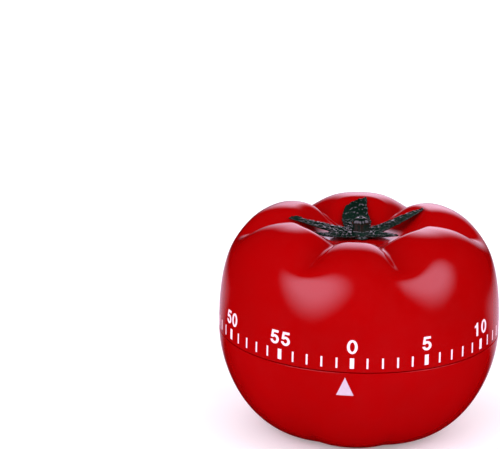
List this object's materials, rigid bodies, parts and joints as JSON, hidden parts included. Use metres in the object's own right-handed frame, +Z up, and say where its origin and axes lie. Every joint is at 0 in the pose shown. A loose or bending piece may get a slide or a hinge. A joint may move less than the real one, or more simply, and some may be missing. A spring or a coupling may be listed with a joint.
{
  "type": "kitchen timer",
  "caption": "Wind-up kitchen timer shaped like a tomato: the lobed upper half is the turning minute dial over a clockwork movement with a bell",
  "frame": {"origin": "centre of the flat resting face, at the bottom of the bounding box, on the axis that the dial turns about", "axes": "+Z up along the dial axis, which is also the shortest extent; -Y towards the pointer triangle; +X to the right seen from the pointer side"},
  "size_m": [0.066, 0.066, 0.0519],
  "materials": {
    "base_plastic": "glossy injection-moulded red ABS, fixed lower half",
    "dial_plastic": "glossy injection-moulded red ABS, turning upper half",
    "calyx_plastic": "glossy very dark green moulded plastic with raised veins",
    "plate_brass": "stamped yellow plate metal, lightly brushed",
    "wheel_brass": "blanked wheel brass",
    "turned_steel": "turned bright steel",
    "spring_steel": "blued tempered spring steel",
    "bell_steel": "nickel-plated pressed bell metal"
  },
  "bodies": {
    "base": {"base_shell": "base_plastic", "mainspring": "spring_steel", "spring_post": "turned_steel", "bottom_plate": "plate_brass", "top_plate": "plate_brass", "plate_pillars": "turned_steel", "pillar_nuts": "wheel_brass", "movement_screws": "turned_steel", "bell": "bell_steel", "bell_post": "turned_steel", "bell_screw": "turned_steel", "lever_stud": "turned_steel", "release_spring": "spring_steel", "stop_pin": "turned_steel"},
    "dial": {"dial_shell": "dial_plastic", "calyx": "calyx_plastic", "main_arbor": "turned_steel", "ratchet_wheel": "wheel_brass", "release_cam": "wheel_brass", "arbor_circlip": "spring_steel"},
    "great": {"great_wheel": "wheel_brass", "click": "turned_steel", "click_rivets": "turned_steel", "click_spring": "spring_steel"},
    "second": {"second_arbor": "turned_steel", "second_wheel": "wheel_brass"},
    "third": {"third_arbor": "turned_steel", "third_wheel": "wheel_brass"},
    "escape": {"escape_arbor": "turned_steel", "escape_wheel": "wheel_brass"},
    "strike": {"strike_arbor": "turned_steel", "strike_wheel": "wheel_brass"},
    "balance": {"pallet_arbor": "turned_steel", "pallet_anchor": "wheel_brass", "pallet_pins": "turned_steel", "balance_bar": "wheel_brass"},
    "hammer": {"hammer_arbor": "turned_steel", "hammer_anchor": "wheel_brass", "hammer_pins": "turned_steel", "hammer_arm": "turned_steel", "hammer_head": "wheel_brass"},
    "release": {"release_lever": "turned_steel"}
  },
  "joints": [
    {"name": "dial_turn", "type": "hinge", "parent": "base", "child": "dial", "pos_m": [0, 0, 0.0235], "axis": [0, 0, 1], "range_deg": [-348, 0]},
    {"name": "great_wheel_turn", "type": "hinge", "parent": "base", "child": "great", "pos_m": [0, 0, 0.017], "axis": [0, 0, 1], "continuous": true},
    {"name": "second_wheel_turn", "type": "hinge", "parent": "base", "child": "second", "pos_m": [0.01349, 0.00491, 0.0197], "axis": [0, 0, 1], "continuous": true},
    {"name": "third_wheel_turn", "type": "hinge", "parent": "base", "child": "third", "pos_m": [0.00671, 0.01327, 0.0211], "axis": [0, 0, 1], "continuous": true},
    {"name": "escape_wheel_turn", "type": "hinge", "parent": "base", "child": "escape", "pos_m": [-0.00205, 0.01524, 0.0135], "axis": [0, 0, 1], "continuous": true},
    {"name": "strike_wheel_turn", "type": "hinge", "parent": "base", "child": "strike", "pos_m": [-0.01349, -0.00491, 0.0135], "axis": [0, 0, 1], "continuous": true},
    {"name": "pallet_swing", "type": "hinge", "parent": "base", "child": "balance", "pos_m": [-0.0083, 0.01295, 0.0147], "axis": [0, 0, 1], "range_deg": [-4, 4]},
    {"name": "hammer_swing", "type": "hinge", "parent": "base", "child": "hammer", "pos_m": [-0.00988, -0.01027, 0.0147], "axis": [0, 0, 1], "range_deg": [-4, 4]},
    {"name": "release_lever_swing", "type": "hinge", "parent": "base", "child": "release", "pos_m": [0.01498, -0.00076, 0.0249], "axis": [0, 0, 1], "range_deg": [-6, 0]}
  ],
  "couplings": [
    {"joint": "great_wheel_turn", "follows": "dial_turn", "ratio": 1},
    {"joint": "second_wheel_turn", "follows": "dial_turn", "ratio": -6},
    {"joint": "third_wheel_turn", "follows": "dial_turn", "ratio": 36},
    {"joint": "escape_wheel_turn", "follows": "dial_turn", "ratio": -216},
    {"joint": "strike_wheel_turn", "follows": "dial_turn", "ratio": -6}
  ]
}
